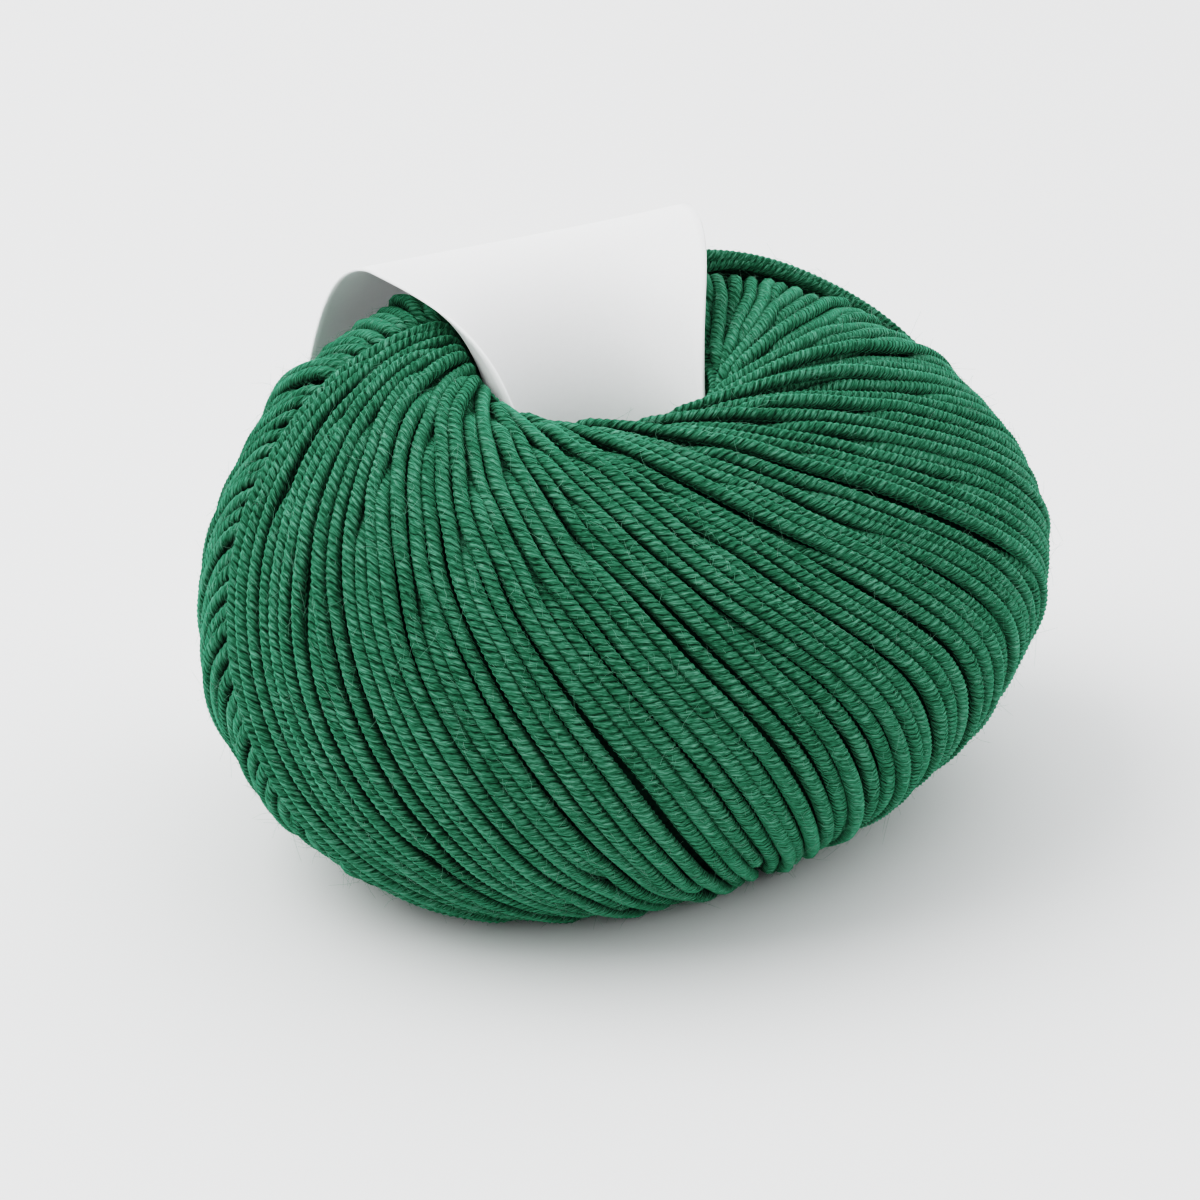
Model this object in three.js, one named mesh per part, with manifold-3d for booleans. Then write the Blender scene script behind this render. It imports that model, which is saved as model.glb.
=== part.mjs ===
// A machine-wound ball of knitting yarn with a plain paper band through its hole.
// Millimetres, +Z up. The origin is at the middle of the underside.
import * as THREE from 'three';
import { mergeVertices } from 'three/addons/utils/BufferGeometryUtils.js';
import Module from 'manifold-3d';

// ---- wound ball -------------------------------------------------------------
const HALF_LENGTH = 55.7;        // along X
const HALF_WIDTH = 43.1;         // along Y
const HALF_HEIGHT = 34.4;        // along Z, before the hollow at each end of the hole
const HOLE_SHARE = 0.268;        // hole radius as a share of the half length and half width
const HOLE_SHIFT = { x: -6.6, y: -1.7 };   // the hole lies a little off the middle
const HOLLOW_DEPTH = 0.302;      // how far the ball dips round the hole, share of the half height
const HOLLOW_SPREAD = 0.299;     // how wide that dip is, share of the radius
const BACK_RISE = 0.148;         // the back of the ball stands higher than the front
const LEAN = 0.397;              // how steeply the turns cross the ball's side
const FLAT_LEVEL = -29.8;        // height of the flat spot it rests on, from the ball's middle
const NEWEST_TURN = THREE.MathUtils.degToRad(90);   // where the last turn meets the hole

// ---- main twists ------------------------------------------------------------
const TWISTS = 28;               // raised groups of turns round the ball
const COLUMNS_PER_TWIST = 3;
const COLUMNS = TWISTS * COLUMNS_PER_TWIST;
const ROWS = COLUMNS / 2;
const TWIST_HEIGHT = 1.4;
const NEWEST_HEIGHT = 2.1;       // the last few turns lie on top of the others

// ---- hole ends --------------------------------------------------------------
// Each row steps from the lip into the hole: share of the hole radius, drop below the lip.
const HOLE_STEPS = [
  { radius: 0.97, drop: 3.5 },
  { radius: 0.93, drop: 8.0 },
  { radius: 0.82, drop: 11.0 },
];
const HOLE_FLOOR_DROP = 1.0;     // the floor dishes a little below the last step

// ---- paper band -------------------------------------------------------------
const BAND_WIDTH = 48;
const BAND_THICKNESS = 1.0;
const BAND_BEARING = THREE.MathUtils.degToRad(73.8);   // from the hole to the limb it wraps
const BAND_INNER = 9.5;          // distance of the band from the hole's axis, inside the hole
const BAND_OUTER = 47.5;         // the same on the outside of the ball
const BAND_TOP = 34.8;           // height over the middle of the ball
const BAND_BOTTOM = FLAT_LEVEL + 0.6;   // just clear of what the ball stands on
const BAND_SQUARENESS = 2.3;     // underneath; 2 is an ellipse, more is squarer
const INSIDE_SQUARENESS = 2.2;   // the upper quarter towards the hole
const OUTSIDE_SQUARENESS = 1.86; // the upper quarter on the outside
const SQUARENESS_SKEW = 0.0125;  // how both change per millimetre across the paper
const BAND_CURL = 12.7;          // radius of the paper where it is curled inside the hole
const BAND_EASE = 34.6;          // radius of the same curve on the outside
const CURL_REACH = 1.35;         // angle round the loop over which the curl opens out
const BAND_FLARE = -0.12;        // the outside leans out towards one end
const BAND_LEAN = 0.09;          // and so does the side in the hole
const BAND_SLOPE = 0.03;         // the top falls towards one end
const BAND_SAG = 3.9;            // and lies lower in the middle than at both ends
const BAND_GAP = 0.5;            // clearance kept between paper and yarn
const TUCK_DEPTH = 1.5;          // yarn is pressed this far under the middle of the paper
const TUCK_REACH = 7;            // yarn farther outside the loop than this is left alone
const TUCK_FADE = 8;             // the pressed place eases out over this width past each edge
const BAND_STEPS_ROUND = 64;
const BAND_STEPS_ACROSS = 10;

const WOOL_GREEN = 0x1f7a55;
const PAPER_WHITE = 0xeceaea;

const wasm = await Module();
wasm.setup();

// Point of the smooth ball: polar is 0 at the top lip and PI at the bottom lip.
function ballPoint(polar, around) {
  const sin = Math.sin(polar);
  const cos = Math.cos(polar);
  const radius = Math.sqrt(HOLE_SHARE ** 2 + (1 - HOLE_SHARE ** 2) * sin ** 2);
  const height = cos * (1 - HOLLOW_DEPTH * Math.exp(-((radius / HOLLOW_SPREAD) ** 2)));
  const shift = 1 - radius ** 2;
  const x = HALF_LENGTH * radius * Math.cos(around) + HOLE_SHIFT.x * shift;
  const y = HALF_WIDTH * radius * Math.sin(around) + HOLE_SHIFT.y * shift;
  const rise = (BACK_RISE * y * (height + Math.sqrt(height ** 2 + 0.04))) / HALF_WIDTH;
  return new THREE.Vector3(x, y, HALF_HEIGHT * (height + rise));
}

function ballNormal(polar, around) {
  const step = 0.002;
  const inside = Math.min(Math.max(polar, 2 * step), Math.PI - 2 * step);
  const down = ballPoint(inside + step, around).sub(ballPoint(inside - step, around));
  const side = ballPoint(inside, around + step).sub(ballPoint(inside, around - step));
  return down.cross(side).normalize();
}

// Every turn passes one lip, crosses the side on a slant and passes the far lip opposite.
// Turns run down to the right on one half of the ball and up to the right on the other.
function twistHeight(phase, fade) {
  const twist = Math.floor(phase / COLUMNS_PER_TWIST);
  const place = phase % COLUMNS_PER_TWIST;
  if (twist === 0) {
    return NEWEST_HEIGHT * [0.7, 1, 0.5][place] * fade;
  }
  const uneven = 0.72 + 0.2 * Math.sin(twist * 2.4) + 0.12 * Math.sin(twist * 5.1 + 1);
  return TWIST_HEIGHT * uneven * [-0.45, 0.5, 0.32][place] * fade;
}

function squareness(across, cos, sin) {
  if (sin < 0) {
    return BAND_SQUARENESS;
  }
  if (cos < 0) {
    return INSIDE_SQUARENESS - SQUARENESS_SKEW * across;
  }
  return OUTSIDE_SQUARENESS + SQUARENESS_SKEW * across;
}

// Middle surface of the paper: across runs over its width, round runs once about the limb.
// round is PI inside the hole, PI / 2 on top, 0 on the outside and -PI / 2 underneath.
function bandPoint(across, round) {
  const cos = Math.cos(round);
  const sin = Math.sin(round);
  const n = squareness(across, cos, sin);
  const scale = (Math.abs(cos) ** n + Math.abs(sin) ** n) ** (-1 / n);
  const middle = (BAND_INNER + BAND_OUTER) / 2;
  const reach = (BAND_OUTER - BAND_INNER) / 2;
  const level = (BAND_TOP + BAND_BOTTOM) / 2;
  const rise = (BAND_TOP - BAND_BOTTOM) / 2;
  const turned = Math.PI - Math.abs(Math.atan2(sin, cos));
  const curled = Math.exp(-((turned / CURL_REACH) ** 4));
  const radius = 1 / (1 / BAND_EASE + (1 / BAND_CURL - 1 / BAND_EASE) * curled);
  const side = radius * Math.sin(across / radius);
  const sag = radius * (1 - Math.cos(across / radius));
  const outward = (1 + cos * scale) / 2;
  const upward = Math.max(0, sin * scale);
  const ends = (2 * across / BAND_WIDTH) ** 2;
  const leaning = BAND_FLARE * outward + BAND_LEAN * (1 - outward);
  const out = middle + reach * cos * scale - sag + leaning * across;
  const up = level + rise * sin * scale + (BAND_SLOPE * across + BAND_SAG * ends) * upward;
  const dx = Math.cos(BAND_BEARING);
  const dy = Math.sin(BAND_BEARING);
  return new THREE.Vector3(
    HOLE_SHIFT.x + dx * out + dy * side,
    HOLE_SHIFT.y + dy * out - dx * side,
    up,
  );
}

function bandNormal(across, round) {
  const step = 0.002;
  const a = bandPoint(across + step, round).sub(bandPoint(across - step, round));
  const b = bandPoint(across, round + step).sub(bandPoint(across, round - step));
  return a.cross(b).normalize();
}

// Samples of the paper with the direction that points out of its loop.
const tuckSamples = [];
for (let row = 0; row < 3 * BAND_STEPS_ROUND; row += 1) {
  const round = (row * 2 * Math.PI) / (3 * BAND_STEPS_ROUND);
  for (let step = -16; step <= 16; step += 1) {
    const across = (step / 16) * (BAND_WIDTH / 2 + TUCK_FADE);
    const past = Math.max(0, Math.abs(across) - BAND_WIDTH / 2);
    tuckSamples.push({
      at: bandPoint(across, round),
      out: bandNormal(across, round).negate(),
      hold: 0.5 + 0.5 * Math.cos((Math.PI * past) / TUCK_FADE),
    });
  }
}

// How far yarn that would stand through the paper has to move to lie under it.
function tuckOffset(point) {
  let nearest = null;
  let least = TUCK_REACH ** 2;
  for (const sample of tuckSamples) {
    const gap = sample.at.distanceToSquared(point);
    if (gap < least) {
      least = gap;
      nearest = sample;
    }
  }
  if (!nearest) {
    return new THREE.Vector3();
  }
  const outside = point.clone().sub(nearest.at).dot(nearest.out);
  const excess = Math.max(0, outside + TUCK_DEPTH);
  return nearest.out.clone().multiplyScalar(-excess * nearest.hold);
}

function wrap(column) {
  return (column + COLUMNS) % COLUMNS;
}

// Press the rings in under the paper, each point sharing its neighbours' movement.
function tuck(rings) {
  const offsets = rings.map((ring) => ring.map(tuckOffset));
  rings.forEach((ring, row) => ring.forEach((point, column) => {
    const above = offsets[Math.max(row - 1, 0)];
    const below = offsets[Math.min(row + 1, rings.length - 1)];
    point.addScaledVector(offsets[row][column], 0.4);
    point.addScaledVector(offsets[row][wrap(column - 1)], 0.2);
    point.addScaledVector(offsets[row][wrap(column + 1)], 0.2);
    point.addScaledVector(above[column], 0.1);
    point.addScaledVector(below[column], 0.1);
  }));
}

function isDescending(row, column) {
  return column >= row && column <= COLUMNS - row;
}

function aroundAt(column) {
  return NEWEST_TURN + (column * 2 * Math.PI) / COLUMNS;
}

function woundRing(row) {
  const sweep = (row * Math.PI) / ROWS;
  const polar = Math.atan2(LEAN * Math.sin(sweep), Math.cos(sweep));
  const fade = Math.min(1, 0.12 + Math.sin(polar) * 1.15);
  return Array.from({ length: COLUMNS }, (_, column) => {
    const phase = isDescending(row, column) ? column - row : wrap(column + row - COLUMNS);
    const raise = twistHeight(phase, fade);
    const around = aroundAt(column);
    return ballPoint(polar, around).addScaledVector(ballNormal(polar, around), raise);
  });
}

// One step of a blind end of the hole, measured from the lip.
function holeRing(polar, step) {
  const side = Math.sign(Math.cos(polar));
  const shift = 1 - HOLE_SHARE ** 2;
  return Array.from({ length: COLUMNS }, (_, column) => {
    const lip = ballPoint(polar, aroundAt(column));
    return new THREE.Vector3(
      THREE.MathUtils.lerp(HOLE_SHIFT.x * shift, lip.x, step.radius),
      THREE.MathUtils.lerp(HOLE_SHIFT.y * shift, lip.y, step.radius),
      lip.z - side * step.drop,
    );
  });
}

// The surface is a stack of rings from the floor of one end of the hole to that of the other.
function woundSurface() {
  const top = HOLE_STEPS.map((step) => holeRing(0, step)).reverse();
  const side = Array.from({ length: ROWS + 1 }, (_, row) => woundRing(row));
  const bottom = HOLE_STEPS.map((step) => holeRing(Math.PI, step));
  const rings = [...top, ...side, ...bottom];
  tuck(rings);

  const positions = rings.flat().flatMap((point) => point.toArray());
  const index = [];
  for (let ring = 0; ring < rings.length - 1; ring += 1) {
    const row = Math.min(Math.max(ring - top.length, 0), ROWS - 1);
    for (let column = 0; column < COLUMNS; column += 1) {
      const a = ring * COLUMNS + column;
      const b = ring * COLUMNS + wrap(column + 1);
      const c = a + COLUMNS;
      const d = b + COLUMNS;
      if (isDescending(row + 0.5, column + 0.5)) {
        index.push(a, c, d, a, d, b);
      } else {
        index.push(a, c, b, b, c, d);
      }
    }
  }
  for (const [first, up] of [[0, 1], [(rings.length - 1) * COLUMNS, -1]]) {
    const ring = rings[first / COLUMNS];
    const floor = new THREE.Vector3();
    ring.forEach((point) => floor.addScaledVector(point, 1 / COLUMNS));
    floor.z -= up * HOLE_FLOOR_DROP;
    const middle = positions.length / 3;
    positions.push(...floor.toArray());
    for (let column = 0; column < COLUMNS; column += 1) {
      const here = first + column;
      const next = first + wrap(column + 1);
      index.push(middle, up > 0 ? here : next, up > 0 ? next : here);
    }
  }

  const geometry = new THREE.BufferGeometry();
  geometry.setAttribute('position', new THREE.Float32BufferAttribute(positions, 3));
  geometry.setIndex(index);
  return geometry;
}

// A closed loop of sheet, used for the paper itself and, larger, for the space it lies in.
function bandLoop(thickness, width) {
  const positions = [];
  const index = [];
  const perRow = BAND_STEPS_ACROSS + 1;
  const at = (row, layer, column) =>
    ((row % BAND_STEPS_ROUND) * 2 + layer) * perRow + column;
  for (let row = 0; row < BAND_STEPS_ROUND; row += 1) {
    const round = (row * 2 * Math.PI) / BAND_STEPS_ROUND;
    for (const layer of [-0.5, 0.5]) {
      for (let column = 0; column < perRow; column += 1) {
        const across = (column / BAND_STEPS_ACROSS - 0.5) * width;
        const point = bandPoint(across, round);
        point.addScaledVector(bandNormal(across, round), layer * thickness);
        positions.push(point.x, point.y, point.z);
      }
    }
  }
  const quad = (a, b, c, d) => index.push(a, b, c, a, c, d);
  for (let row = 0; row < BAND_STEPS_ROUND; row += 1) {
    const next = row + 1;
    for (let column = 0; column < BAND_STEPS_ACROSS; column += 1) {
      const far = column + 1;
      quad(at(row, 1, column), at(row, 1, far), at(next, 1, far), at(next, 1, column));
      quad(at(row, 0, column), at(next, 0, column), at(next, 0, far), at(row, 0, far));
    }
    const last = BAND_STEPS_ACROSS;
    quad(at(row, 0, 0), at(row, 1, 0), at(next, 1, 0), at(next, 0, 0));
    quad(at(row, 0, last), at(next, 0, last), at(next, 1, last), at(row, 1, last));
  }
  const geometry = new THREE.BufferGeometry();
  geometry.setAttribute('position', new THREE.Float32BufferAttribute(positions, 3));
  geometry.setIndex(index);
  return geometry;
}

function toSolid(geometry) {
  const bare = geometry.clone();
  bare.deleteAttribute('normal');
  bare.deleteAttribute('uv');
  const merged = mergeVertices(bare, 1e-4);
  return new wasm.Manifold(new wasm.Mesh({
    numProp: 3,
    vertProperties: new Float32Array(merged.attributes.position.array),
    triVerts: new Uint32Array(merged.index.array),
  }));
}

function toGeometry(solid) {
  const mesh = solid.getMesh();
  const geometry = new THREE.BufferGeometry();
  geometry.setAttribute('position', new THREE.Float32BufferAttribute(mesh.vertProperties, 3));
  geometry.setIndex(Array.from(mesh.triVerts));
  geometry.computeVertexNormals();
  return geometry;
}

function woolBall() {
  const wound = toSolid(woundSurface());
  const floor = new THREE.BoxGeometry(4 * HALF_LENGTH, 4 * HALF_WIDTH, HALF_HEIGHT);
  floor.translate(0, 0, FLAT_LEVEL - HALF_HEIGHT / 2);
  const room = bandLoop(BAND_THICKNESS + 2 * BAND_GAP, BAND_WIDTH + 2 * BAND_GAP);
  const cut = wound.subtract(toSolid(floor)).subtract(toSolid(room));
  // The curl of the paper can part a crumb of yarn from the rest; the ball is the largest body.
  const bodies = cut.decompose();
  bodies.sort((a, b) => b.volume() - a.volume());
  return bodies[0];
}

const wool = new THREE.MeshStandardMaterial({
  color: WOOL_GREEN,
  roughness: 0.95,
  metalness: 0,
});
const paper = new THREE.MeshStandardMaterial({
  color: PAPER_WHITE,
  roughness: 0.55,
  metalness: 0,
});

const ball = new THREE.Mesh(toGeometry(woolBall()), wool);
ball.name = 'ball';
const band = new THREE.Mesh(toGeometry(toSolid(bandLoop(BAND_THICKNESS, BAND_WIDTH))), paper);
band.name = 'band';

const yarnBall = new THREE.Group();
yarnBall.add(ball, band);

// Stand the whole on its flat spot with the middle of its box over the origin.
const box = new THREE.Box3().setFromObject(yarnBall);
const centre = box.getCenter(new THREE.Vector3());
yarnBall.position.set(-centre.x, -centre.y, -box.min.z);

export default yarnBall;
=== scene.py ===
"""Looks of the ball of yarn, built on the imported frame: strands, plies, loose fibres and paper."""
import math

import bpy
import numpy as np
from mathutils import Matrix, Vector
from mathutils.kdtree import KDTree


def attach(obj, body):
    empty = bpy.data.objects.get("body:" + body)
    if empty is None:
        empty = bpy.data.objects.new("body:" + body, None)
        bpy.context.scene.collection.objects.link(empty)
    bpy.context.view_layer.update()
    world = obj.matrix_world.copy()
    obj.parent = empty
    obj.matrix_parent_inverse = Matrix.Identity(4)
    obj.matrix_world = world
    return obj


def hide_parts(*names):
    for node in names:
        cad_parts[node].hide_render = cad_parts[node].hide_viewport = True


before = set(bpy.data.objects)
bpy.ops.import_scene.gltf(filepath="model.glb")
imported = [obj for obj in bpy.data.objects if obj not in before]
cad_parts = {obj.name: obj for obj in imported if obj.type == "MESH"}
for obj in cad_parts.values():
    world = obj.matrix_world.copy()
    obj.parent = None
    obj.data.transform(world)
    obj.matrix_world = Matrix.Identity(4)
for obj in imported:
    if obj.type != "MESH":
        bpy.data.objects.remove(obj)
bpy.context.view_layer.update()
rng = np.random.default_rng(7)
MM = 0.001

# ---- the wound form, as in the solid (millimetres, before OFFSET) -----------------------------
HALF = np.array([55.7, 43.1, 34.4])
HOLE_SHARE = 0.268
HOLE_SHIFT = np.array([-6.6, -1.7])
HOLLOW_DEPTH, HOLLOW_SPREAD = 0.302, 0.299
BACK_RISE = 0.148
LEAN = 0.397
NEWEST = math.radians(86.5)
OFFSET = np.array([0.0, -1.871, 29.8])
HOLE_MIDDLE = HOLE_SHIFT * (1 - HOLE_SHARE**2) + OFFSET[:2]
# Going down the blind hole: its share of the lip's width, and the depth under the lip.
HOLE_STEPS = [(1.0, 0.0), (0.97, 3.5), (0.93, 8.0), (0.82, 11.0), (0.4, 11.8), (0.02, 12.0)]

# ---- the paper band ---------------------------------------------------------------------------
BAND_WIDTH = 48.0
BAND_BEARING = math.radians(73.8)
BAND_INNER, BAND_OUTER = 9.5, 47.5
BAND_TOP, BAND_BOTTOM = 34.8, -29.2
BAND_SQUARENESS = 2.3
INSIDE_SQUARENESS, OUTSIDE_SQUARENESS, SQUARENESS_SKEW = 2.2, 1.86, 0.0125
BAND_CURL, BAND_EASE, CURL_REACH = 12.7, 34.6, 1.35
BAND_FLARE, BAND_LEAN = -0.12, 0.09
BAND_SLOPE, BAND_SAG = 0.03, 3.9
PAPER = 0.35

# ---- the yarn ---------------------------------------------------------------------------------
LOOPS = 128
STRAND = 0.92            # radius over the plies
STRAND_WIDE, STRAND_HIGH = 1.05, 0.97       # a strand is pressed slightly flat
PLY_DIP = 0.85           # share of that radius between two plies
PLIES = 4
PLY_PITCH = 3.65         # length of one full twist
FIBRE_ROWS = 17.0        # rows of fibres round a strand, which lie flatter than the plies
FIBRE_PITCH = 4.4
RING = PLY_PITCH / 8     # distance between the rings of a strand's tube
SIDES = 8
# Colours of the wool's ramp, darkest to lightest; the tone that picks among them carries the yarn's own
# uneven fibre colour and painted shade, darker in the grooves between plies and lighter on their crowns.
WOOL_DEEP = (0.004, 0.020, 0.011)
WOOL_MID = (0.013, 0.072, 0.039)
WOOL_BODY = (0.037, 0.148, 0.087)
WOOL_TIP = (0.130, 0.310, 0.215)


def ball_point(polar, around):
    """Point of the smooth ball; polar is 0 at the upper lip of the hole and pi at the lower."""
    sin, cos = np.sin(polar), np.cos(polar)
    radius = np.sqrt(HOLE_SHARE**2 + (1 - HOLE_SHARE**2) * sin**2)
    height = cos * (1 - HOLLOW_DEPTH * np.exp(-((radius / HOLLOW_SPREAD) ** 2)))
    shift = 1 - radius**2
    x = HALF[0] * radius * np.cos(around) + HOLE_SHIFT[0] * shift
    y = HALF[1] * radius * np.sin(around) + HOLE_SHIFT[1] * shift
    rise = BACK_RISE * y / HALF[1] * (height + np.sqrt(height**2 + 0.04))
    return np.stack([x, y, HALF[2] * (height + rise)], -1) + OFFSET


def unit(v):
    return v / np.maximum(np.linalg.norm(v, axis=-1, keepdims=True), 1e-9)


def ball_normal(polar, around):
    step = 0.004
    polar = np.clip(polar, 2 * step, math.pi - 2 * step)
    down = ball_point(polar + step, around) - ball_point(polar - step, around)
    side = ball_point(polar, around + step) - ball_point(polar, around - step)
    return unit(np.cross(down, side))


def sweep_to_polar(sweep):
    return np.arctan2(LEAN * np.abs(np.sin(sweep)), np.cos(sweep))


def band_point(across, around):
    """Middle surface of the paper, as in the solid."""
    cos, sin = np.cos(around), np.sin(around)
    inside = INSIDE_SQUARENESS - SQUARENESS_SKEW * across
    outside = OUTSIDE_SQUARENESS + SQUARENESS_SKEW * across
    n = np.where(sin < 0, BAND_SQUARENESS, np.where(cos < 0, inside, outside))
    scale = (np.abs(cos) ** n + np.abs(sin) ** n) ** (-1 / n)
    turned = math.pi - np.abs(np.arctan2(sin, cos))
    curled = np.exp(-((turned / CURL_REACH) ** 4))
    radius = 1 / (1 / BAND_EASE + (1 / BAND_CURL - 1 / BAND_EASE) * curled)
    side = radius * np.sin(across / radius)
    sag = radius * (1 - np.cos(across / radius))
    outward = (1 + cos * scale) / 2
    upward = np.maximum(0, sin * scale)
    out = (BAND_INNER + BAND_OUTER) / 2 + (BAND_OUTER - BAND_INNER) / 2 * cos * scale
    out = out - sag + (BAND_FLARE * outward + BAND_LEAN * (1 - outward)) * across
    up = (BAND_TOP + BAND_BOTTOM) / 2 + (BAND_TOP - BAND_BOTTOM) / 2 * sin * scale
    up = up + (BAND_SLOPE * across + BAND_SAG * (2 * across / BAND_WIDTH) ** 2) * upward
    dx, dy = math.cos(BAND_BEARING), math.sin(BAND_BEARING)
    x = HOLE_SHIFT[0] + dx * out + dy * side
    y = HOLE_SHIFT[1] + dy * out - dx * side
    return np.stack([x, y, up], -1) + OFFSET


def band_out(across, around):
    """Direction out of the loop of paper."""
    step = 0.004
    a = band_point(across + step, around) - band_point(across - step, around)
    b = band_point(across, around + step) - band_point(across, around - step)
    return -unit(np.cross(a, b))


# ---- pressing the yarn in under the paper -----------------------------------------------------
TUCK_FADE = 8.0          # the pressing eases out over this width past each edge of the paper
TUCK_WINDOW = 9          # points over which the pressing is evened out along a line
TURN_DEPTH, LINING_DEPTH = 1.45, 1.35       # how far inside the paper's middle strands are kept
REACH_INSIDE, REACH_OUTSIDE = 7.0, 18.0     # how far off the yarn may stand and still be pressed in
near_around, near_across = np.meshgrid(
    np.linspace(0, 2 * math.pi, 240, endpoint=False),
    np.linspace(-BAND_WIDTH / 2 - TUCK_FADE, BAND_WIDTH / 2 + TUCK_FADE, 49), indexing="ij")
tuck_at = band_point(near_across, near_around).reshape(-1, 3)
tuck_out = band_out(near_across, near_around).reshape(-1, 3)
past = np.maximum(0, np.abs(near_across.ravel()) - BAND_WIDTH / 2)
tuck_hold = 0.5 + 0.5 * np.cos(math.pi * past / TUCK_FADE)
turned_out = np.clip(0.5 + 2 * np.cos(near_around.ravel()), 0, 1)
tuck_reach = REACH_INSIDE + (REACH_OUTSIDE - REACH_INSIDE) * turned_out
tuck_tree = KDTree(len(tuck_at))
for n, p in enumerate(tuck_at):
    tuck_tree.insert(p, n)
tuck_tree.balance()


def tuck(points, depth):
    """Moves points that would stand through the paper to depth inside it."""
    offset = np.zeros_like(points)
    for n, p in enumerate(points):
        _, near, gap = tuck_tree.find(p)
        if gap < tuck_reach[near]:
            excess = max(0.0, float((p - tuck_at[near]) @ tuck_out[near]) + depth)
            offset[n] = -excess * tuck_hold[near] * tuck_out[near]
    if len(points) > TUCK_WINDOW:
        kernel = np.hanning(TUCK_WINDOW)[1:-1]
        kernel /= kernel.sum()
        half = len(kernel) // 2
        padded = np.pad(offset, ((half, half), (0, 0)), mode="edge")
        offset = np.stack([np.convolve(padded[:, k], kernel, "valid") for k in range(3)], -1)
    return points + offset


# ---- strands ----------------------------------------------------------------------------------
# The packed map has rows of strips, with some room to spare.
ROWS_SPARE, WIDTH_SPARE, EDGE_SPARE = 1.12, 1.15, 1.02
STRIP_GAP = 0.6
ROW_EDGE, ROW_FILL = 0.04, 0.92


class Tubes:
    """Gathers tubes into one mesh with a strand map and a packed map."""

    def __init__(self):
        self.points, self.faces, self.strand, self.strips = [], [], [], []
        self.count = 0

    def add(self, centre, normal, radius, start):
        """One strand along centre; normal points out of the ball, radius is one value a ring."""
        rings = len(centre)
        tangent = unit(np.gradient(centre, axis=0))
        side = unit(np.cross(tangent, normal))
        normal = np.cross(side, tangent)
        turn = np.arange(SIDES) * 2 * math.pi / SIDES
        ply = np.where((np.arange(rings)[:, None] + np.arange(SIDES)[None]) % 2 == 0, 1.0, PLY_DIP)
        # The seam lies on the inner side of the strand.
        across = -np.sin(turn)[None] * radius[:, None] * ply * STRAND_WIDE
        out = -np.cos(turn)[None] * radius[:, None] * ply * STRAND_HIGH
        verts = centre[:, None] + across[..., None] * side[:, None] + out[..., None] * normal[:, None]
        ring, k = np.meshgrid(np.arange(rings - 1), np.arange(SIDES), indexing="ij")
        k2 = (k + 1) % SIDES
        a, b = ring * SIDES + k, ring * SIDES + k2
        c, d = a + SIDES, b + SIDES
        faces = np.stack([a, b, c, b, d, c], -1).reshape(-1, 3) + self.count
        u0, u1 = ring * RING + start, (ring + 1) * RING + start
        v0, v1 = k / SIDES, (k + 1) / SIDES
        uv = np.stack([u0, v0, u0, v1, u1, v0, u0, v1, u1, v1, u1, v0], -1).reshape(-1, 2)
        self.strips.append((len(uv), rings, start))
        self.points.append(verts.reshape(-1, 3))
        self.faces.append(faces)
        self.strand.append(uv)
        self.count += rings * SIDES

    def build(self, name, material):
        points = np.concatenate(self.points) * MM
        faces = np.concatenate(self.faces)
        strand = np.concatenate(self.strand)
        mesh = bpy.data.meshes.new(name)
        mesh.vertices.add(len(points))
        mesh.vertices.foreach_set("co", points.ravel())
        mesh.loops.add(faces.size)
        mesh.loops.foreach_set("vertex_index", faces.ravel())
        mesh.polygons.add(len(faces))
        mesh.polygons.foreach_set("loop_start", np.arange(0, faces.size, 3))
        mesh.polygons.foreach_set("loop_total", np.full(len(faces), 3))
        mesh.update(calc_edges=True)
        mesh.validate()
        packed = mesh.uv_layers.new(name="OFBake")
        packed.data.foreach_set("uv", self.pack_strips(strand).ravel())
        layer = mesh.uv_layers.new(name="strand")
        layer.data.foreach_set("uv", strand.ravel())
        return add_piece(name, mesh, material)

    def pack_strips(self, strand):
        """Lays the strips in rows, the longest first, each in the row that is least full."""
        longest = max(r for _, r, _ in self.strips) * RING
        total = sum(r for _, r, _ in self.strips) * RING
        rows = max(1, math.ceil(total * ROWS_SPARE / longest), math.ceil(total / longest) + 1)
        fill = [0.0] * rows
        packed = np.empty_like(strand)
        width = max(longest, total / rows * WIDTH_SPARE) * EDGE_SPARE
        order = sorted(range(len(self.strips)), key=lambda n: -self.strips[n][1])
        starts = np.cumsum([0] + [s[0] for s in self.strips])
        for n in order:
            loops, rings, start = self.strips[n]
            row = min(range(rows), key=lambda r: fill[r])
            own = slice(starts[n], starts[n] + loops)
            packed[own, 0] = (fill[row] + strand[own, 0] - start + STRIP_GAP / 2) / width
            packed[own, 1] = (row + ROW_EDGE + ROW_FILL * strand[own, 1]) / rows
            fill[row] += rings * RING + STRIP_GAP
        over = max(fill) / width
        if over > 1:
            packed[:, 0] /= over
        return packed


def resample(points, step):
    """Where on a line's points the places lie that are an even step apart."""
    along = np.concatenate([[0], np.cumsum(np.linalg.norm(np.diff(points, axis=0), axis=1))])
    count = max(4, int(along[-1] / step) + 1)
    want = np.linspace(0, along[-1], count)
    return np.interp(want, along, np.arange(len(points)))


def smoothstep(x):
    x = np.clip(x, 0, 1)
    return x * x * (3 - 2 * x)


def bump(sweep, middle, reach):
    """1 at the middle, easing out to nothing beyond the reach."""
    return np.exp(-(((sweep - middle) / reach) ** 2))


SPACING = 2 * math.pi / LOOPS
TURNS = np.arange(LOOPS)
jitter = np.clip(rng.normal(0, 0.06, LOOPS), -0.08, 0.08)
lift = rng.normal(0, 0.17, LOOPS)
waves = rng.uniform(0, 2 * math.pi, (LOOPS, 6))


def rank(n):
    """Even spread of 0 to 1 over the turns, for which of them sink where turns crowd."""
    value, share = 0.0, 0.5
    n = int(n)
    while n:
        value += share * (n & 1)
        n >>= 1
        share /= 2
    return value


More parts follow.
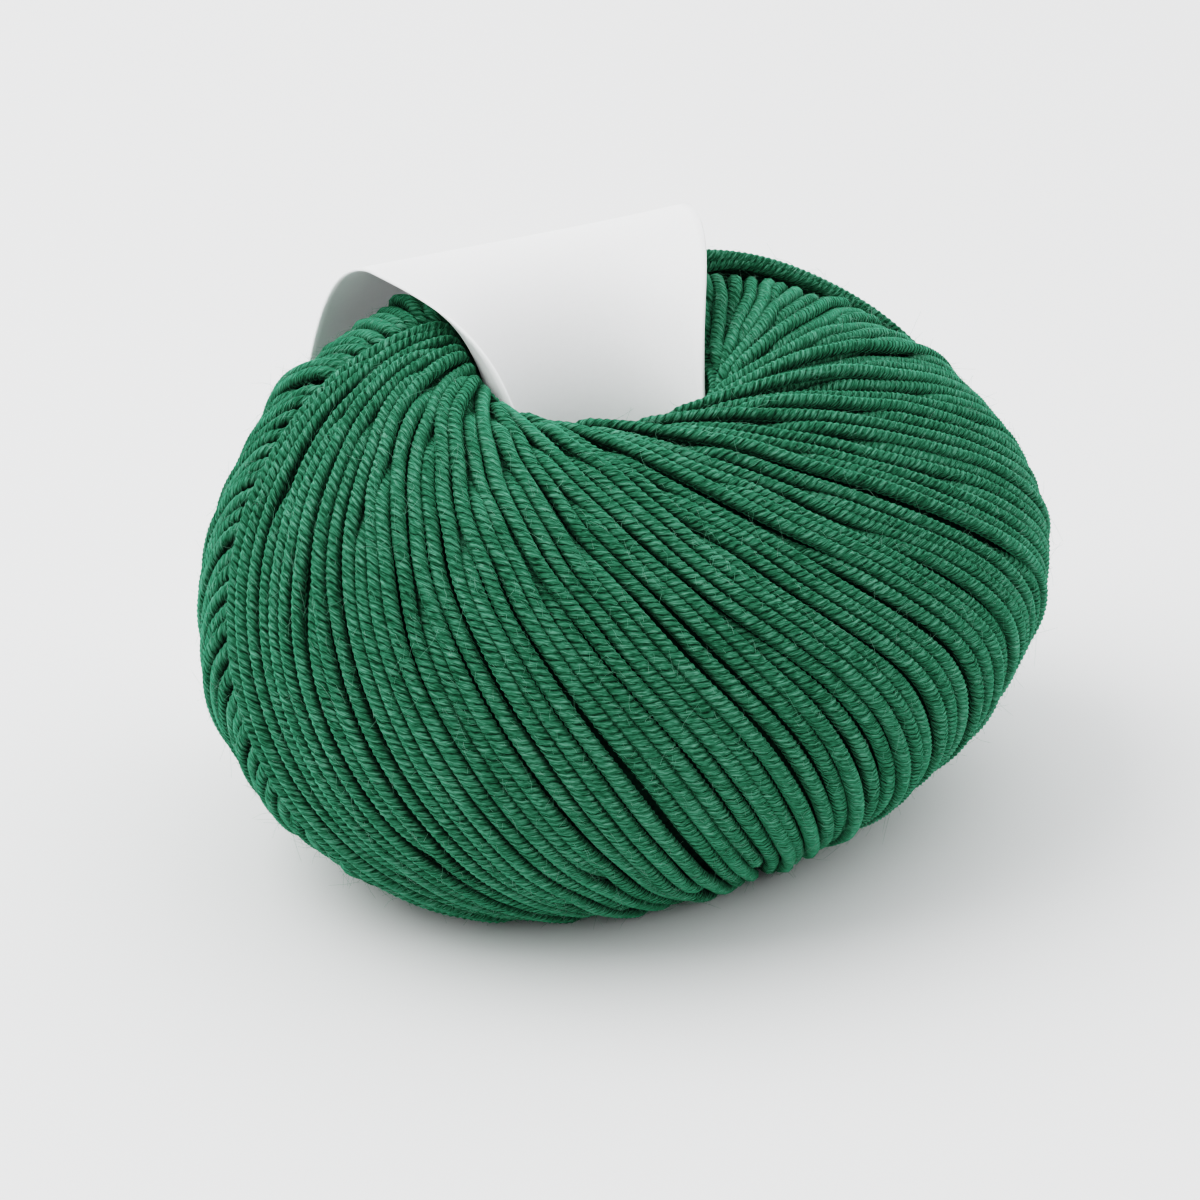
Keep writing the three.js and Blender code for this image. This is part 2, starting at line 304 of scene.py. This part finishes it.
ranks = np.array([rank(n) for n in range(LOOPS)]) + rng.uniform(-0.05, 0.05, LOOPS)

ROOM_NEEDED = 2.02       # strand radii between two turns that lie side by side
ROOM_RANGE = (0.02, 1.3)
SUNK_WIDTH, SUNK_DEPTH = 0.72, 1.75         # share of its width that a sunk turn gives up, and its depth
SINK_EASE = 0.16         # how gradually turns sink as the room gets less
SHARING_TURNS = 17       # neighbours that share the room between them
# Where the newest turn stands out over the shoulder of the ball, the next lies this many spacings off.
SHOULDER_SWEEP, SHOULDER_REACH = -1.15, 0.42
SHOULDER_STEP = 1.6


def around_mean(values, window):
    """Mean over neighbouring turns, round the whole ball."""
    half = window // 2
    ring = np.concatenate([values[-half:], values, values[:half]])
    total = np.cumsum(np.concatenate([np.zeros((1, values.shape[1])), ring]), axis=0)
    return (total[window:] - total[:-window])[:LOOPS] / window


def family(sweep):
    """Lines of all turns over the same signed sweeps: below zero they climb, above they descend.

    Where turns crowd, some sink under the others, and those left on top share the room.
    """
    polar = np.broadcast_to(sweep_to_polar(sweep), (LOOPS, len(sweep)))
    even = NEWEST + TURNS[:, None] * SPACING + sweep
    here, near = ball_point(polar, even), ball_point(polar, even + SPACING)
    step = unit(np.gradient(here, axis=1))
    gap = near - here
    pitch = np.linalg.norm(gap - (gap * step).sum(-1, keepdims=True) * step, axis=-1)
    room = np.clip(pitch / (ROOM_NEEDED * STRAND), *ROOM_RANGE)
    sunk = smoothstep((ranks[:, None] - room) / SINK_EASE + 0.5)
    width = 1 - SUNK_WIDTH * sunk
    mean = around_mean(width, SHARING_TURNS)
    shift = np.cumsum(width / mean - 1, axis=0) - 0.5 * (width / mean - 1)
    shift = shift - around_mean(shift, SHARING_TURNS)
    # Slow waves, in spacings: first those that neighbours share, then those of each turn's own.
    j = TURNS[:, None]
    wander = jitter[:, None] + 0.08 * np.sin(1.7 * j + 2.1 * sweep) + 0.10 * np.sin(0.61 * j - 3.3 * sweep)
    wander = wander + 0.05 * np.sin(2.3 * sweep + waves[:, :1]) + 0.05 * np.sin(5.1 * sweep + waves[:, 1:2])
    beside = SHOULDER_STEP * (j == 1) * bump(sweep, SHOULDER_SWEEP, SHOULDER_REACH)
    around = even + (shift + wander - beside) * SPACING
    height = lift[:, None] + 0.18 * np.sin(0.9 * j + 1.3 * sweep + 1) + 0.12 * np.sin(2.3 * j - 2.7 * sweep)
    height = height + 0.1 * np.sin(3.7 * sweep + waves[:, 2:3]) - SUNK_DEPTH * sunk
    return ball_point(polar, around), ball_normal(polar, around), height, polar, room


TAIL = 0.32              # sweep over which a turn comes up to the lip of the hole
MARGIN = 0.16            # sweep by which it goes on under the other family
SWEEP_STEPS = 430
down_sweep = np.linspace(-TAIL, math.pi, SWEEP_STEPS)
up_sweep = np.linspace(-math.pi - TAIL, 0.0, SWEEP_STEPS)
down_family, up_family = family(down_sweep), family(up_sweep)

NEWEST_COUNT = 2         # turns that lie open on top of the rest
RAISED_TURNS, NEWEST_RAISE = 3.0, 0.95
SHOULDER_LIFT = (1.35, 0.6, 0.2)            # of the newest turns, in their order
LIP_DIP, UNDER_DIP = 3.2, 2.4               # how far turns go down at the lip, and under the others
UNDER_SWEEP = 0.11       # sweep over which a turn goes in under the others
UNDER_EARLY, UNDER_EARLIER = 0.95, 0.2      # shares of that sweep by which it starts sooner
EARLIER_FROM, EARLIER_OVER = 74, 16         # turns going down that start sooner still
SETTLE = 0.6             # strands lie this far inside the smooth ball
# Turns that stand out where the outline curves over: number, whether it climbs, sweep, reach, height.
PROUD_TURNS = ((41, True, -1.30, 0.20, 1.3), (42, True, -1.28, 0.20, 1.1), (57, False, 0.92, 0.30, 0.7),
               (58, False, 0.92, 0.30, 0.9), (64, False, 0.92, 0.32, 0.9), (65, False, 0.90, 0.32, 0.7),
               (68, False, 0.90, 0.32, 0.8), (71, False, 0.88, 0.30, 1.1), (72, False, 0.88, 0.30, 0.9))


def turn_line(j, climbing):
    """Centre line of one half turn, with its direction out of the ball."""
    sweep = up_sweep if climbing else down_sweep
    base, normal, height, polar, room = (part[j] for part in (up_family if climbing else down_family))
    # The last turns lie on top of the others, and stand highest over the shoulder of the ball.
    newest = max(0.0, 1 - j / RAISED_TURNS) ** 0.6
    raised = newest * NEWEST_RAISE * smoothstep(np.sin(polar) * 1.6)
    if climbing and j < len(SHOULDER_LIFT):
        raised = raised + SHOULDER_LIFT[j] * bump(sweep, SHOULDER_SWEEP, SHOULDER_REACH)
    for turn, climbs, middle_sweep, reach, proud in PROUD_TURNS:
        if turn == j and climbs == climbing:
            raised = raised + proud * bump(sweep, middle_sweep, reach)
    height = height + raised
    # A turn comes out from under its neighbours at the lip of the hole.
    start = -math.pi if climbing else 0.0
    height = height - LIP_DIP * smoothstep((start - sweep) / TAIL)
    # Past the line where the other family lies on top, it goes in under it.
    end = -j * SPACING / 2 if climbing else math.pi - j * SPACING / 2
    keep = sweep <= (min(0.0, end + MARGIN) if climbing else min(math.pi, end + MARGIN))
    if not (climbing and j < NEWEST_COUNT):
        early = UNDER_EARLY + UNDER_EARLIER * smoothstep((j - EARLIER_FROM) / EARLIER_OVER) * (not climbing)
        height = height - UNDER_DIP * smoothstep((sweep - end) / UNDER_SWEEP + early)
    line = base + normal * (height - SETTLE)[:, None]
    return line[keep], normal[keep], room[keep]


def finish_line(line, normal, depth):
    """The line at even steps, pressed in under the paper and resting on the floor."""
    index = resample(line, RING)
    grid = np.arange(len(line))
    line = np.stack([np.interp(index, grid, line[:, k]) for k in range(3)], -1)
    normal = unit(np.stack([np.interp(index, grid, normal[:, k]) for k in range(3)], -1))
    line = tuck(tuck(line, depth), depth)
    line[:, 2] = np.maximum(line[:, 2], STRAND * STRAND_HIGH)
    return line, normal


TAPER_RINGS, TAPER_END = 6, 0.35


def strand_ends(count):
    """Shares of the radius along a strand that thins out at both ends."""
    ends = np.ones(count)
    ends[:TAPER_RINGS] = np.linspace(TAPER_END, 1, TAPER_RINGS)
    ends[-TAPER_RINGS:] = np.linspace(1, TAPER_END, TAPER_RINGS)
    return ends


SWELL_RANGE = (0.97, 1.13)
SWELL_WAVE, SWELL_SLOWNESS = 0.035, 0.35


def add_turn(tubes, j, climbing, start):
    line, normal, room = turn_line(j, climbing)
    index = resample(line, RING)
    room = np.interp(index, np.arange(len(line)), room)
    line, normal = finish_line(line, normal, TURN_DEPTH)
    # A strand spreads a little where there is room for it.
    wave = np.sin(np.arange(len(line)) * RING * SWELL_SLOWNESS + waves[j, 3])
    swell = np.clip(room, *SWELL_RANGE) + SWELL_WAVE * wave
    tubes.add(line, normal, STRAND * swell * strand_ends(len(line)), start)
    return line, normal


# ---- materials --------------------------------------------------------------------------------
def node_tree(name):
    material = bpy.data.materials.new(name)
    material.use_nodes = True
    tree = material.node_tree
    return material, tree, tree.nodes["Principled BSDF"]


def maths(tree, kind, a, b=None, clamp=False):
    node = tree.nodes.new("ShaderNodeMath")
    node.operation = kind
    node.use_clamp = clamp
    for socket, value in zip(node.inputs, (a, b)):
        if value is None:
            continue
        if isinstance(value, (int, float)):
            socket.default_value = value
        else:
            tree.links.new(value, socket)
    return node.outputs[0]


def times(tree, a, b):
    return maths(tree, "MULTIPLY", a, b)


def plus(tree, a, b):
    return maths(tree, "ADD", a, b)


def ramp(tree, factor, stops):
    node = tree.nodes.new("ShaderNodeValToRGB")
    band = node.color_ramp
    while len(band.elements) < len(stops):
        band.elements.new(0.5)
    for element, (place, colour) in zip(band.elements, stops):
        element.position = place
        element.color = (*colour, 1)
    tree.links.new(factor, node.inputs[0])
    return node.outputs[0]


def mix(tree, kind, factor, a, b):
    node = tree.nodes.new("ShaderNodeMix")
    node.data_type = "RGBA"
    node.blend_type = kind
    for socket, value in ((node.inputs[0], factor), (node.inputs[6], a), (node.inputs[7], b)):
        if isinstance(value, (int, float)):
            socket.default_value = value
        elif isinstance(value, tuple):
            socket.default_value = (*value, 1)
        else:
            tree.links.new(value, socket)
    return node.outputs[2]


def noise(tree, vector, scale, detail=2.0, rough=0.5):
    node = tree.nodes.new("ShaderNodeTexNoise")
    node.inputs["Scale"].default_value = scale
    node.inputs["Detail"].default_value = detail
    node.inputs["Roughness"].default_value = rough
    tree.links.new(vector, node.inputs["Vector"])
    return node.outputs["Fac"]


def combine(tree, *values):
    node = tree.nodes.new("ShaderNodeCombineXYZ")
    for socket, value in zip(node.inputs, values):
        if isinstance(value, (int, float)):
            socket.default_value = value
        else:
            tree.links.new(value, socket)
    return node.outputs[0]


def wool_material(name, flank_shade_stops):
    material, tree, shader = node_tree(name)
    uv = tree.nodes.new("ShaderNodeUVMap")
    uv.uv_map = "strand"
    split = tree.nodes.new("ShaderNodeSeparateXYZ")
    tree.links.new(uv.outputs[0], split.inputs[0])
    along, turn = split.outputs[0], split.outputs[1]
    # Position between two ply grooves, 0 to 1, for an S-twisted strand with a slightly uneven twist.
    slow_place = combine(tree, times(tree, along, 0.8), times(tree, turn, 5.0), 2.0)
    uneven = noise(tree, slow_place, 1.0, 1.0, 0.5)
    lay = plus(tree, times(tree, turn, float(PLIES)), times(tree, along, PLIES / PLY_PITCH))
    ply = maths(tree, "FRACT", plus(tree, lay, times(tree, uneven, 0.7)))
    off = maths(tree, "ABSOLUTE", maths(tree, "SUBTRACT", times(tree, ply, 2.0), 1.0))
    crown = maths(tree, "SQRT", maths(tree, "SUBTRACT", 1.0, maths(tree, "POWER", off, 2.0)), clamp=True)
    # Fibres follow their ply at a slightly lower angle.
    lay_slow = plus(tree, times(tree, turn, FIBRE_ROWS), times(tree, along, FIBRE_ROWS / FIBRE_PITCH))
    fibre = noise(tree, combine(tree, lay_slow, times(tree, along, 0.7), 0.0), 1.0, 2.0, 0.6)
    fine_place = combine(tree, times(tree, lay_slow, 2.1), times(tree, along, 1.5), 3.7)
    fine = noise(tree, fine_place, 1.0, 2.0, 0.6)
    broad = noise(tree, combine(tree, times(tree, along, 0.09), turn, 9.0), 1.0, 2.0, 0.5)
    solid = tree.nodes.new("ShaderNodeTexCoord")
    patch = noise(tree, solid.outputs["Object"], 45.0, 2.0, 0.5)
    height = plus(tree, times(tree, crown, 0.8), times(tree, fibre, 0.9))
    height = plus(tree, height, times(tree, fine, 0.35))
    bump = tree.nodes.new("ShaderNodeBump")
    bump.inputs["Strength"].default_value = 1.0
    bump.inputs["Distance"].default_value = 0.00020
    tree.links.new(height, bump.inputs["Height"])
    tree.links.new(bump.outputs[0], shader.inputs["Normal"])
    # Painted shade: the colour darkens in the grooves between plies and lightens on each ply's crown; the
    # fibre, fine, broad and patch noise add the yarn's own uneven tone.
    tone = plus(tree, times(tree, crown, 0.46), 0.17)
    for value, weight in ((fibre, 0.95), (fine, 1.05), (broad, 0.25), (patch, 0.12)):
        tone = plus(tree, tone, times(tree, maths(tree, "SUBTRACT", value, 0.5), weight))
    colour = ramp(tree, tone, [(0.18, WOOL_DEEP), (0.40, WOOL_MID), (0.62, WOOL_BODY), (0.92, WOOL_TIP)])
    # The flanks of a strand lie in the shade of its neighbours.
    flank = maths(tree, "ABSOLUTE", maths(tree, "SUBTRACT", turn, 0.5))
    shade = ramp(tree, flank, [(edge, (value,) * 3) for edge, value in flank_shade_stops])
    colour = mix(tree, "MULTIPLY", 1.0, colour, shade)
    tree.links.new(colour, shader.inputs["Base Color"])
    shader.inputs["Roughness"].default_value = 0.9
    shader.inputs["Specular IOR Level"].default_value = 0.05
    shader.inputs["Sheen Weight"].default_value = 0.55
    shader.inputs["Sheen Roughness"].default_value = 0.3
    shader.inputs["Sheen Tint"].default_value = (0.16, 0.72, 0.42, 1)
    return material


def core_material():
    material, tree, shader = node_tree("wool_under_shaded")
    place = tree.nodes.new("ShaderNodeTexCoord")
    grain = noise(tree, place.outputs["Object"], 900.0, 3.0, 0.6)
    # Painted shade: the yarn under the strands is coloured far darker than the strands, for the shade it
    # lies in.
    colour = ramp(tree, grain, [(0.3, (0.002, 0.016, 0.009)), (0.8, (0.012, 0.075, 0.042))])
    tree.links.new(colour, shader.inputs["Base Color"])
    bump = tree.nodes.new("ShaderNodeBump")
    bump.inputs["Distance"].default_value = 0.0003
    tree.links.new(grain, bump.inputs["Height"])
    tree.links.new(bump.outputs[0], shader.inputs["Normal"])
    shader.inputs["Roughness"].default_value = 0.95
    shader.inputs["Specular IOR Level"].default_value = 0.1
    return material


def paper_material():
    material, tree, shader = node_tree("band_paper")
    place = tree.nodes.new("ShaderNodeTexCoord")
    fibre = noise(tree, place.outputs["Object"], 1600.0, 3.0, 0.6)
    cloud = noise(tree, place.outputs["Object"], 60.0, 2.0, 0.5)
    tone = plus(tree, times(tree, fibre, 0.5), times(tree, cloud, 0.5))
    colour = ramp(tree, tone, [(0.3, (0.92, 0.92, 0.922)), (0.7, (0.96, 0.96, 0.962))])
    tree.links.new(colour, shader.inputs["Base Color"])
    bump = tree.nodes.new("ShaderNodeBump")
    bump.inputs["Strength"].default_value = 0.35
    bump.inputs["Distance"].default_value = 0.00006
    tree.links.new(tone, bump.inputs["Height"])
    tree.links.new(bump.outputs[0], shader.inputs["Normal"])
    rough = ramp(tree, cloud, [(0.2, (0.42,) * 3), (0.8, (0.52,) * 3)])
    tree.links.new(rough, shader.inputs["Roughness"])
    shader.inputs["Specular IOR Level"].default_value = 0.35
    shader.inputs["Subsurface Weight"].default_value = 0.5
    shader.inputs["Subsurface Radius"].default_value = (1.0, 1.0, 1.0)
    shader.inputs["Subsurface Scale"].default_value = 0.0004
    return material


def fuzz_material():
    material, tree, shader = node_tree("wool_fibre")
    place = tree.nodes.new("ShaderNodeTexCoord")
    grain = noise(tree, place.outputs["Object"], 400.0, 1.0, 0.5)
    colour = ramp(tree, grain, [(0.3, (0.040, 0.180, 0.105)), (0.7, (0.110, 0.340, 0.220))])
    tree.links.new(colour, shader.inputs["Base Color"])
    shader.inputs["Roughness"].default_value = 0.8
    shader.inputs["Sheen Weight"].default_value = 0.4
    return material


# ---- building the pieces ----------------------------------------------------------------------
def add_piece(name, mesh, material):
    mesh.polygons.foreach_set("use_smooth", np.ones(len(mesh.polygons), bool))
    mesh.materials.append(material)
    piece = bpy.data.objects.new(name, mesh)
    bpy.context.scene.collection.objects.link(piece)
    return piece


def grid_mesh(name, grid, wrap_rows, wrap_columns, material):
    rows, columns = grid.shape[:2]
    last_row = rows if wrap_rows else rows - 1
    last_column = columns if wrap_columns else columns - 1
    r, c = np.meshgrid(np.arange(last_row), np.arange(last_column), indexing="ij")
    r2, c2 = (r + 1) % rows, (c + 1) % columns
    quads = np.stack([r * columns + c, r * columns + c2, r2 * columns + c2, r2 * columns + c], -1)
    mesh = bpy.data.meshes.new(name)
    mesh.from_pydata((grid.reshape(-1, 3) * MM).tolist(), [], quads.reshape(-1, 4).tolist())
    return add_piece(name, mesh, material)


# The flank ramps are painted shade; the copy for the newest turns, which lie open on top, has lighter
# painted shade on its flanks.
wool = wool_material("wool_strand", ((0.08, 1.0), (0.17, 0.68), (0.27, 0.16)))
open_wool_less_shade = wool_material("wool_strand_open_less_shade", ((0.18, 1.0), (0.34, 0.75), (0.48, 0.5)))
shaded_core_wool = core_material()
paper = paper_material()
fuzz_wool = fuzz_material()
ball_pieces = []
seeds = []      # places on the strands that loose fibres grow from

# Where strands start on the map of their plies, so that no two look alike.
TURN_START, CLIMB_START = 61.7, 300.0
COIL_MAP_START, COIL_MAP_STEP = 9000.0, 500.0
FLOOR_MAP_START, FLOOR_MAP_STEP = 9900.0, 40.0
# The newest turns are a piece of their own; the others go in even groups.
GROUPS = 11
edges = [0] + [NEWEST_COUNT + n * (LOOPS - NEWEST_COUNT) // GROUPS for n in range(GROUPS + 1)]
for group, (first, last) in enumerate(zip(edges, edges[1:])):
    tubes = Tubes()
    for j in range(first, last):
        start = j * TURN_START
        down = add_turn(tubes, j, False, start)
        up = add_turn(tubes, j, True, start + CLIMB_START)
        seeds.extend([down, up])
    ball_pieces.append(tubes.build(f"turns_{group:02d}", wool if group else open_wool_less_shade))


COIL_TURNS, COIL_START, COIL_DEPTH = 6.0, 0.6, 10.6
FLOOR_STRANDS, FLOOR_REACH, FLOOR_DEPTH = 20, 9.5, 13.4
FLOOR_STEP, FLOOR_RISE, FLOOR_BOW = 2.9, 0.2, 1.5
GOLDEN_TURN = 2.4        # radians between one floor strand and the next


def hole_coil(tubes, upper):
    """Older turns that line the blind end of the hole, and a few across its floor."""
    side = 1 if upper else -1
    polar = 0.0 if upper else math.pi
    steps = np.array(HOLE_STEPS)
    down = np.linspace(0.02, 1, 900)
    around = down * COIL_TURNS * 2 * math.pi
    drop = COIL_START + down * COIL_DEPTH
    share = np.interp(drop, steps[:, 1], steps[:, 0]) - 0.02
    lip = ball_point(np.full_like(around, polar), around)
    line = lip.copy()
    line[:, :2] = HOLE_MIDDLE + (lip[:, :2] - HOLE_MIDDLE) * share[:, None]
    line[:, 2] = lip[:, 2] - side * drop
    inward = np.concatenate([HOLE_MIDDLE - line[:, :2], np.zeros((len(line), 1))], 1)
    line, normal = finish_line(line, unit(inward), LINING_DEPTH)
    tubes.add(line, normal, STRAND * strand_ends(len(line)), COIL_MAP_START + COIL_MAP_STEP * upper)
    for n in range(FLOOR_STRANDS):
        angle = GOLDEN_TURN * n
        shift = (n % 5 - 2) * FLOOR_STEP
        t = np.linspace(-1, 1, 60)
        direction = np.array([math.cos(angle), math.sin(angle)])
        cross = np.array([-direction[1], direction[0]])
        bowed = cross * (shift + FLOOR_BOW * t[:, None] ** 2)
        flat = HOLE_MIDDLE + t[:, None] * direction * FLOOR_REACH + bowed
        level = lip[:, 2].mean() - side * (FLOOR_DEPTH - FLOOR_RISE * (n % 6) - 0.4 * t**4)
        line = np.concatenate([flat, level[:, None]], 1)
        up = np.tile([0.0, 0.0, float(side)], (len(line), 1))
        line, normal = finish_line(line, up, LINING_DEPTH)
        tubes.add(line, normal, STRAND * strand_ends(len(line)), FLOOR_MAP_START + FLOOR_MAP_STEP * n)


lining = Tubes()
hole_coil(lining, True)
hole_coil(lining, False)
ball_pieces.append(lining.build("hole_turns", wool))

CORE_SINK, CORE_DEPTH = 2.7, 3.2            # inside the smooth ball, and under the paper
CORE_WIDER, CORE_LOWER = 1.06, 1.5          # round the hole's walls and beyond its floor
CORE_FLOOR = 0.9
core_around = np.linspace(0, 2 * math.pi, 120, endpoint=False)


def core_hole_ring(upper, share, drop):
    polar = 0.0 if upper else math.pi
    ring = ball_point(np.full_like(core_around, polar), core_around)
    ring[:, :2] = HOLE_MIDDLE + (ring[:, :2] - HOLE_MIDDLE) * (share * CORE_WIDER)
    ring[:, 2] -= (1 if upper else -1) * (drop + CORE_LOWER)
    return ring


def core_side_ring(sweep):
    polar = np.full_like(core_around, sweep_to_polar(sweep))
    return ball_point(polar, core_around) - CORE_SINK * ball_normal(polar, core_around)


def under_wool(name):
    """The mass of yarn under the strands, coloured dark as painted shade where it shows between them."""
    rings = [core_hole_ring(True, share, drop) for share, drop in reversed(HOLE_STEPS[1:])]
    rings += [core_side_ring(sweep) for sweep in np.linspace(0, math.pi, 80)]
    rings += [core_hole_ring(False, share, drop) for share, drop in HOLE_STEPS[1:]]
    grid = np.stack([tuck(ring, CORE_DEPTH) for ring in rings])
    grid[..., 2] = np.maximum(grid[..., 2], CORE_FLOOR)
    return grid_mesh(name, grid, False, True, shaded_core_wool)


ball_pieces.append(under_wool("under_wool"))


FIBRES = 11500
FIBRE_SHORTEST, FIBRE_LONGEST, FIBRE_THICK = 0.4, 2.4, 0.018
FIBRE_RINGS, FIBRE_SIDES = 4, 3
FIBRE_ROOT = 0.92        # share of a strand's radius
CLEAR_OF_PAPER = 4.5
CLEAR_OF_ENDS = 15       # rings at a strand's ends that carry no fibre


def fibre_tube(line, normal):
    """One fine fibre that leaves a strand somewhere along it, or None near the paper."""
    at = rng.integers(CLEAR_OF_ENDS, len(line) - CLEAR_OF_ENDS)
    tangent = unit(line[at + 1] - line[at - 1])
    out = normal[at]
    side = np.cross(tangent, out)
    lean = rng.normal(0, 0.6)
    root = line[at] + STRAND * FIBRE_ROOT * unit(out + lean * side)
    if tuck_tree.find(root)[2] < CLEAR_OF_PAPER:
        return None
    length = min(rng.gamma(2.4, 0.42) + FIBRE_SHORTEST, FIBRE_LONGEST)
    along = unit(tangent * rng.choice([-1, 1]) + side * rng.normal(0, 0.8) + out * rng.uniform(0.1, 0.8))
    bend = rng.normal(0, 0.9, 3)
    t = np.linspace(0, 1, FIBRE_RINGS)[:, None]
    droop = (t * length) ** 2
    curve = root + along * t * length + bend * droop * 0.22 - out * 0.10 * droop
    thick = FIBRE_THICK * (1 - 0.5 * t)
    heading = unit(np.gradient(curve, axis=0))
    sideways = unit(np.cross(heading, out + 1e-3))
    upright = np.cross(heading, sideways)
    turns = [k * 2 * math.pi / FIBRE_SIDES for k in range(FIBRE_SIDES)]
    return np.concatenate([curve + thick * (math.cos(turn) * sideways + math.sin(turn) * upright)
                           for turn in turns])


def loose_fibres(name):
    """Fine fibres that stand off the strands in low curls."""
    weights = np.array([max(0, len(line) - 40) for line, _ in seeds], float)
    picks = rng.choice(len(seeds), FIBRES, p=weights / weights.sum())
    tubes = [tube for tube in (fibre_tube(*seeds[pick]) for pick in picks) if tube is not None]
    ring = np.arange(FIBRE_RINGS - 1)
    strips = []
    for k in range(FIBRE_SIDES):
        a, b = ring + k * FIBRE_RINGS, ring + (k + 1) % FIBRE_SIDES * FIBRE_RINGS
        strips.append(np.stack([a, b, b + 1, a + 1], -1))
    strip = np.concatenate(strips)
    faces = np.concatenate([strip + n * FIBRE_RINGS * FIBRE_SIDES for n in range(len(tubes))])
    points = np.concatenate(tubes)
    points[:, 2] = np.maximum(points[:, 2], 0.1)
    mesh = bpy.data.meshes.new(name)
    mesh.from_pydata((points * MM).tolist(), [], faces.tolist())
    return add_piece(name, mesh, fuzz_wool)


ball_pieces.append(loose_fibres("loose_fibres"))
for piece in ball_pieces:
    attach(piece, "root")
    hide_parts("ball")


def paper_band(name):
    """A closed thin sheet with its outer and inner face."""
    around, across = np.meshgrid(
        np.linspace(0, 2 * math.pi, 220, endpoint=False),
        np.linspace(-BAND_WIDTH / 2, BAND_WIDTH / 2, 41), indexing="ij")
    sheet_middle, out = band_point(across, around), band_out(across, around)
    outer, inner = sheet_middle + out * PAPER / 2, sheet_middle - out * PAPER / 2
    return grid_mesh(name, np.concatenate([outer, inner[:, ::-1]], 1), True, True, paper)


band = paper_band("paper_band")
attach(band, "root")
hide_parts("band")

# ---- stage, light and camera ------------------------------------------------------------------
floor_mat, _, floor_shader = node_tree("floor_white")
floor_shader.inputs["Base Color"].default_value = (0.85, 0.85, 0.85, 1)
floor_shader.inputs["Roughness"].default_value = 0.9
floor_shader.inputs["Specular IOR Level"].default_value = 0.1
VIEW_BEARING = 0.717     # the camera looks this far round from +Y towards +X
forward = np.array([math.sin(VIEW_BEARING), math.cos(VIEW_BEARING)])
rightward = np.array([math.cos(VIEW_BEARING), -math.sin(VIEW_BEARING)])
floor_lines = np.linspace(-4000, 4000, 5)
floor_grid = np.array([[[x, y, 0.0] for x in floor_lines] for y in floor_lines])
floor = grid_mesh("floor", floor_grid, False, False, floor_mat)

DISTANCE = 0.528
ELEVATION = 0.42
PICTURE = 1200           # pixels of the photograph, each way
PIXEL = 0.00012          # metres at the ball
MIDDLE_X, MIDDLE_Y = 633.3, 578.2           # the pixel at which the ball's middle shows
SENSOR = 36.0
middle = OFFSET * MM


def studio_camera():
    level, tilt = math.cos(ELEVATION), math.sin(ELEVATION)
    back = np.array([*(-forward * level), tilt])
    up = np.array([*(forward * tilt), level])
    right = np.array([*rightward, 0.0])
    eye = middle + back * DISTANCE
    aim = middle - right * (MIDDLE_X - PICTURE / 2) * PIXEL + up * (MIDDLE_Y - PICTURE / 2) * PIXEL
    data = bpy.data.cameras.new("camera")
    data.sensor_width = SENSOR
    data.lens = SENSOR * DISTANCE / (PICTURE * PIXEL)
    data.clip_start = 0.01
    camera = bpy.data.objects.new("camera", data)
    camera.location = eye
    camera.rotation_euler = Vector(aim - eye).to_track_quat("-Z", "Y").to_euler()
    bpy.context.scene.collection.objects.link(camera)
    return camera


bpy.context.scene.camera = studio_camera()


def soft_light(name, place, size, power):
    data = bpy.data.lights.new(name, "AREA")
    data.shape = "RECTANGLE"
    data.size, data.size_y = size
    data.energy = power
    lamp = bpy.data.objects.new(name, data)
    spot = np.array([*(rightward * place[0] + forward * place[1]), place[2]])
    lamp.location = spot
    lamp.rotation_euler = Vector(middle - spot).to_track_quat("-Z", "Y").to_euler()
    bpy.context.scene.collection.objects.link(lamp)


# Places are to the right of the camera's view, away from it and up.
soft_light("key", (-0.95, 0.0, 1.1), (1.4, 1.4), 22.0)

# Brightness of the studio all round, and of its walls behind, to the right and in front.
SKY_BASE = 0.42
SKY_GLOWS = ((0.85, 0.0, 0.5, 1.55), (0.0, 0.85, 0.5, 0.75), (-0.85, 0.0, 0.5, 0.45))


def studio_world():
    """Soft light all round, brighter above and behind the ball than in front of it."""
    world = bpy.data.worlds.new("studio")
    world.use_nodes = True
    tree = world.node_tree
    place = tree.nodes.new("ShaderNodeTexCoord")
    strength = SKY_BASE
    for away, sideways, above, glow in SKY_GLOWS:
        dot = tree.nodes.new("ShaderNodeVectorMath")
        dot.operation = "DOT_PRODUCT"
        brightest = np.array([*(away * forward + sideways * rightward), above])
        dot.inputs[1].default_value = tuple(unit(brightest))
        tree.links.new(place.outputs["Generated"], dot.inputs[0])
        lit = maths(tree, "MAXIMUM", dot.outputs["Value"], 0.0)
        strength = plus(tree, times(tree, maths(tree, "POWER", lit, 2.0), glow), strength)
    background = tree.nodes["Background"]
    background.inputs[0].default_value = (0.975, 0.985, 1.0, 1)
    tree.links.new(strength, background.inputs[1])
    return world


bpy.context.scene.world = studio_world()
bpy.context.scene.view_settings.view_transform = "Filmic"
bpy.context.scene.view_settings.look = "High Contrast"
